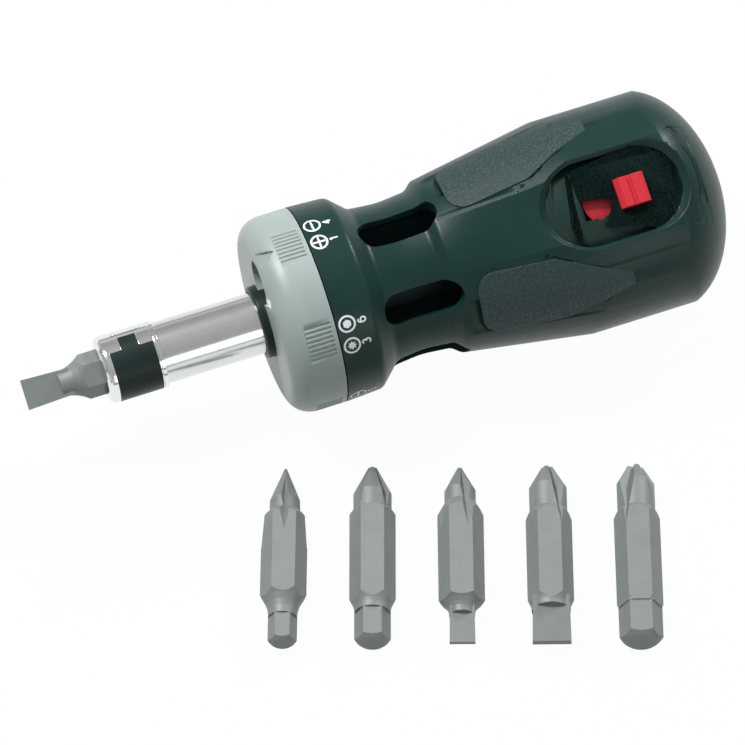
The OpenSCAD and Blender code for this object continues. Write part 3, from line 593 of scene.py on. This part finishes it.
HANDLE_CORNERS = ((16.194, 0), (15.894, 6.2), (13.05, 9.2), (12.6, 14), (13.05, 18.9),
                  (14.3, 20.4), (18.3, 45.4), (18.3, 55.8))
HANDLE_ROUNDS = (1.6, 1.8, 16, 1.8, 1.6, 16)
DOME_LEN = 12.2
CROWN_R = 20.131
CROWN_BACK = 2.481
CROWN_SIDES = 192
CROWN_ENDS = (-1, 70)
DOME_STEPS = 32
INSIDE = ((0, -1), (14, -1), (14, 5.5), (12.2, 5.5), (12.2, 60), (0, 60))
SWITCH_BLOCK = (14.6, 8, 15.65)
SWITCH_Z = 48.5
PLATE = (22.4, 13.9)
WALL_OUT = 1.8
WALL_H = 2.4
WALL_STEPS = 12
WINDOW = (13.1, 5.3)
WINDOW_Z = 14.85
PAD_FRONT = 23.4
PAD_MID = 36.4
PAD_REAR = 48
PAD_HALF = 5.65
PAD_END = (-0.64, 1.92)
PAD_CORNER = 3.2
PAD_STEPS = 10
PAD_BLOCK = (10, 25)
PAD_DEPTH = 1
PAD_PROUD = 0.25
PAD_TURN = 43


def fillet(a, b, c, radius, steps=8):
    """Points of a round of this radius at corner b of the path a, b, c."""
    u = (Vector(a) - Vector(b)).normalized()
    w = (Vector(c) - Vector(b)).normalized()
    half = u.angle(w) / 2
    hub = Vector(b) + (u + w).normalized() * radius / math.sin(half)
    ends = [Vector(b) + side * radius / math.tan(half) - hub for side in (u, w)]
    start, end = (math.degrees(math.atan2(p.y, p.x)) for p in ends)
    return arc(tuple(hub), radius, start, start + (end - start + 540) % 360 - 180, steps)


def handle_outline():
    """The handle's outline as radii and stations, from its front face to the dome."""
    made = [HANDLE_CORNERS[0]]
    for i, radius in enumerate(HANDLE_ROUNDS):
        made += fillet(*HANDLE_CORNERS[i:i + 3], radius)
    return made + [HANDLE_CORNERS[-1]]


def grip_faces():
    """The four crowned faces that flatten the grip."""
    face = regular(CROWN_SIDES, CROWN_R)
    return [prisms("grip_face", face, *CROWN_ENDS,
                   [about_axis(90 * i) @ Matrix.Translation((-CROWN_BACK, 0, 0))])
            for i in range(4)]


def grown_form(grow):
    """The handle without its dome, thicker by this much."""
    outline = [(r + grow, z) for r, z in handle_outline()]
    return turned("handle_core", [(0, 0), *outline, (0, HANDLE_CORNERS[-1][1])])


def pad_blocks():
    """Blocks on the four pads' outlines."""
    half, low = PAD_HALF, PAD_CORNER - PAD_HALF
    end_low, end_high = PAD_END
    outline = [(PAD_MID, -half), (PAD_REAR, end_low), (PAD_REAR, end_high), (PAD_MID, half),
               *arc((PAD_FRONT + PAD_CORNER, -low), PAD_CORNER, 90, 180, PAD_STEPS),
               *arc((PAD_FRONT + PAD_CORNER, low), PAD_CORNER, 180, 270, PAD_STEPS)]
    places = [facing_out(90 * i + (PAD_TURN if i % 2 == 0 else 90 - PAD_TURN), 0, i % 2 == 0)
              for i in range(4)]
    return prisms("pad_blocks", outline, *PAD_BLOCK, places)


def handle_pieces():
    """The handle shell, with its inside taken from the CAD, and the pads in their seats.

    Known fault: the room taken from the CAD ends on the plane where the recess
    starts, and a stray sheet of faces is left there, over the switch plate.
    """
    base_r, dome_z = HANDLE_CORNERS[-1]
    dome = [(base_r * x, dome_z + DOME_LEN * y)
            for x, y in arc((0, 0), 1, 0, 90, DOME_STEPS)][1:-1]
    shell = turned("handle_form", [(0, 0), *handle_outline(), *dome, (0, dome_z + DOME_LEN)])
    carve(shell, *grip_faces(), operation="INTERSECT")
    bore = turned("bore", INSIDE)
    half_len, half_w, top = SWITCH_BLOCK
    block = prisms("switch_block", [(-half_len, -half_w), (half_len, -half_w), (half_len, half_w),
                                    (-half_len, half_w)], 0, top, [facing_out(0, SWITCH_Z)])
    inside = carve(carve(bore, block, operation="UNION"), cad_solid("handle_shell"))
    windows = prisms("windows", stadium(*WINDOW), POCKET_R, base_r,
                     [facing_out(turn, WINDOW_Z) for turn in POCKET_TURNS])
    wall = [(WALL_H * i / WALL_STEPS, WALL_OUT * math.sin(math.pi / 2 * i / WALL_STEPS))
            for i in range(WALL_STEPS + 1)]
    recess = lofted("recess", [(stadium(PLATE[0] + 2 * out, PLATE[1] + 2 * out), top + up)
                               for up, out in wall], [facing_out(0, SWITCH_Z)])
    seats = carve(pad_blocks(), grown_form(-PAD_DEPTH))
    stand_in(carve(shell, inside, windows, recess, seats), "handle_shell", "handle")
    pads = carve(pad_blocks(), grown_form(PAD_PROUD), *grip_faces(), operation="INTERSECT")
    stand_in(carve(pads, grown_form(-PAD_DEPTH)), "thumb_pads", "handle")


def dress_cad():
    """Gives every CAD node the look of its material slot."""
    for subpart in frame["record"]["subparts"]:
        body = frame["nodes"][subpart["node"]]
        body.data.materials.clear()
        body.data.materials.append(LOOKS[subpart["material_slot"]])


# Signs printed on the collar, drawn flat as lists of points: x to the right
# and y up, as a sign is read

def sign_lines(kind):
    """The lines inside a sign's circle."""
    reach = ICON_R
    if kind == "slot":
        return [[(-reach, 0), (reach, 0)]]
    if kind == "cross":
        arm = 0.8 * reach
        return [[(-arm, 0), (arm, 0)], [(0, -arm), (0, arm)]]
    return []


def sign_fill(kind):
    """The filled shape inside a sign's circle, or nothing."""
    if kind == "hexagon":
        return regular(6, 0.58 * ICON_R)
    if kind == "star":
        return regular(8, 0.68 * ICON_R, 0, 0.36 * ICON_R)
    return []


def digit_lines(value):
    """The strokes of a plain digit, in a box of its width and height around zero."""
    w = DIGIT_W / 2
    h = DIGIT_H / 2
    bowl = w
    low = (0, bowl - h)
    high = (0, h - 0.85 * bowl)
    return {
        1: [[(-0.6 * w, 0.55 * h), (0.1 * w, h), (0.1 * w, -h)]],
        2: [arc(high, 0.85 * bowl, 160, -30, 14) + [(-w, -h), (w, -h)]],
        3: [arc(high, 0.82 * bowl, 150, -90, 14), arc(low, bowl, 85, -150, 16)],
        4: [[(0.45 * w, -h), (0.45 * w, h), (-w, -0.35 * h), (w, -0.35 * h)]],
        5: [[(w, h), (-0.75 * w, h), (-0.8 * w, 0.1 * h)] + arc(low, bowl, 125, -150, 18)],
        6: [arc(low, bowl, 0, 360, 20),
            [(-bowl, low[1]), (-0.95 * bowl, 0.25 * h)]
            + arc((0, 0.3 * h), 0.9 * bowl, 160, 55, 8)],
    }[value]


def in_short_steps(points):
    """The same line with a point at least every STEP_MM."""
    made = [points[0]]
    for a, b in zip(points, points[1:]):
        steps = max(1, math.ceil(math.dist(a, b) / STEP_MM))
        made += [tuple(Vector(a).lerp(Vector(b), (i + 1) / steps)) for i in range(steps)]
    return made


class Print:
    """A thin skin of ink on the collar, built sign by sign."""

    def __init__(self):
        self.mesh = bmesh.new()

    def spot(self, turn, z, flat):
        """A mesh vertex for a flat point of the sign that is centred on a turn and a station."""
        return self.mesh.verts.new(on_collar(turn, -flat[0], z - flat[1]))

    def stroke(self, turn, z, points, width, closed=False):
        """A line of even width along the points, cut short enough to follow the collar."""
        points = points if closed else in_short_steps(points)
        count = len(points)
        sides = []
        for i, point in enumerate(points):
            before = points[i - 1] if (i or closed) else point
            after = points[(i + 1) % count] if (i < count - 1 or closed) else point
            along = (Vector(after) - Vector(before)).normalized()
            across = Vector((-along.y, along.x)) * width / 2
            sides.append([self.spot(turn, z, Vector(point) + across),
                          self.spot(turn, z, Vector(point) - across)])
        last = count if closed else count - 1
        for i in range(last):
            a, b = sides[i], sides[(i + 1) % count]
            self.mesh.faces.new([a[0], a[1], b[1], b[0]])

    def fill(self, turn, z, points):
        """A filled shape, as a fan around its middle."""
        middle = self.spot(turn, z, (0, 0))
        rim = [self.spot(turn, z, p) for p in points]
        for i, corner in enumerate(rim):
            self.mesh.faces.new([middle, rim[i - 1], corner])

    def sign(self, turn, kind, value):
        """One bit end's sign: a circle with its shape inside, and its size behind it."""
        self.stroke(turn, ICON_Z, arc((0, 0), ICON_R, 0, 360, 40)[:-1], ICON_LINE, True)
        for line in sign_lines(kind):
            self.stroke(turn, ICON_Z, line, ICON_LINE)
        if sign_fill(kind):
            self.fill(turn, ICON_Z, sign_fill(kind))
        for line in digit_lines(value):
            self.stroke(turn, DIGIT_Z, line, DIGIT_LINE)

    def piece(self, name, material):
        """The finished skin, as an object on the handle."""
        bmesh.ops.recalc_face_normals(self.mesh, faces=self.mesh.faces[:])
        data = bpy.data.meshes.new(name)
        self.mesh.to_mesh(data)
        self.mesh.free()
        data.materials.append(material)
        made = bpy.data.objects.new(name, data)
        bpy.context.scene.collection.objects.link(made)
        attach(made, "handle")


def collar_print():
    """Prints the two signs of each window on the collar."""
    ink = Print()
    for turn, pair in zip(PAIR_TURNS, WINDOW_SIGNS):
        for side, (kind, value) in zip((-1, 1), pair):
            ink.sign(turn + side * PAIR_HALF_TURN, kind, value)
    ink.piece("collar_print", print_ink("print_ink"))


# Floor, light and camera

def white_floor():
    """A pale floor that looks near white to the camera and in gloss, and keeps the shadow."""
    bpy.ops.mesh.primitive_plane_add(size=FLOOR_SIZE)
    floor = bpy.context.object
    floor.name = "floor"
    material, tree, shader = surface("floor", Roughness=0.9, Specular_IOR_Level=0.1)
    soft = noise(tree, add(tree, "TexCoord").outputs["Object"], 400, 2)
    put(tree, shader.inputs["Base Color"], blend_colour(tree, soft, *FLOOR_GREYS))
    seen = seen_or_mirrored(tree)
    glow = add(tree, "Emission", None, Color=rgb((1, 1, 1)), Strength=FLOOR_GLOW).outputs[0]
    mixed = add(tree, "MixShader")
    put(tree, mixed.inputs[0], maths(tree, "MULTIPLY", seen, FLOOR_GLOW_SHARE))
    put(tree, mixed.inputs[1], shader.outputs[0])
    put(tree, mixed.inputs[2], glow)
    put(tree, tree.nodes["Material Output"].inputs["Surface"], mixed.outputs[0])
    floor.data.materials.append(material)


def seen_or_mirrored(tree):
    """One for rays from the camera or sent on by metal or glass, and zero for the rest."""
    path = add(tree, "LightPath")
    seen = maths(tree, "ADD", path.outputs["Is Camera Ray"], path.outputs["Is Glossy Ray"], True)
    return maths(tree, "ADD", seen, path.outputs["Is Transmission Ray"], True)


def studio_world():
    """Soft light from all round, and a white backdrop for the camera."""
    world = bpy.data.worlds.new("studio")
    bpy.context.scene.world = world
    world.use_nodes = True
    tree = world.node_tree
    tree.nodes.clear()
    way = add(tree, "TexCoord").outputs["Generated"]
    height = add(tree, "SeparateXYZ", None, Vector=way).outputs["Z"]
    fall = between(tree, height, 0.1, 0.6, FALL_LOW, FALL_HIGH)
    gloss = bands(tree, height, GLOSS_BANDS)
    path = add(tree, "LightPath")
    tone = pick(tree, path.outputs["Is Glossy Ray"], fall, gloss)
    tone = pick(tree, path.outputs["Is Camera Ray"], tone, 1.0)
    plain = maths(tree, "ADD", path.outputs["Is Glossy Ray"], path.outputs["Is Camera Ray"], True)
    tint = blend_colour(tree, plain, FALL_TINT, (1, 1, 1))
    light = add(tree, "Background", None, Color=tint, Strength=tone)
    out = add(tree, "OutputWorld")
    put(tree, out.inputs["Surface"], light.outputs[0])


def softbox(name, where, size, power):
    """A square lamp at a place in metres, which faces the tool."""
    data = bpy.data.lights.new(name, "AREA")
    data.shape = "SQUARE"
    data.size = size
    data.energy = power
    lamp = bpy.data.objects.new(name, data)
    lamp.location = where
    lamp.rotation_euler = (-Vector(where)).to_track_quat("-Z", "Y").to_euler()
    bpy.context.scene.collection.objects.link(lamp)


def photo_camera():
    """A long lens at the photographer's place."""
    right = Vector((math.cos(VIEW_TURN), math.sin(VIEW_TURN), 0))
    forward = Vector((-math.cos(VIEW_HEIGHT) * math.sin(VIEW_TURN),
                      math.cos(VIEW_HEIGHT) * math.cos(VIEW_TURN), -math.sin(VIEW_HEIGHT)))
    up = right.cross(forward)
    aim = tool_frame.translation + (AIM_RIGHT * right - AIM_DOWN * up) * MM
    data = bpy.data.cameras.new("photo")
    data.lens = VIEW_LENS
    data.sensor_width = VIEW_SENSOR
    data.clip_start = 0.05
    camera = bpy.data.objects.new("photo", data)
    axes = Matrix((right, up, -forward)).transposed().to_4x4()
    camera.matrix_world = Matrix.Translation(aim - VIEW_DISTANCE * forward) @ axes
    bpy.context.scene.collection.objects.link(camera)
    bpy.context.scene.camera = camera


dress_cad()
ring_piece()
bush_piece()
handle_pieces()
collar_print()
white_floor()
studio_world()
for lamp_values in LAMPS:
    softbox(*lamp_values)
photo_camera()
bpy.context.scene.view_settings.view_transform = "Standard"
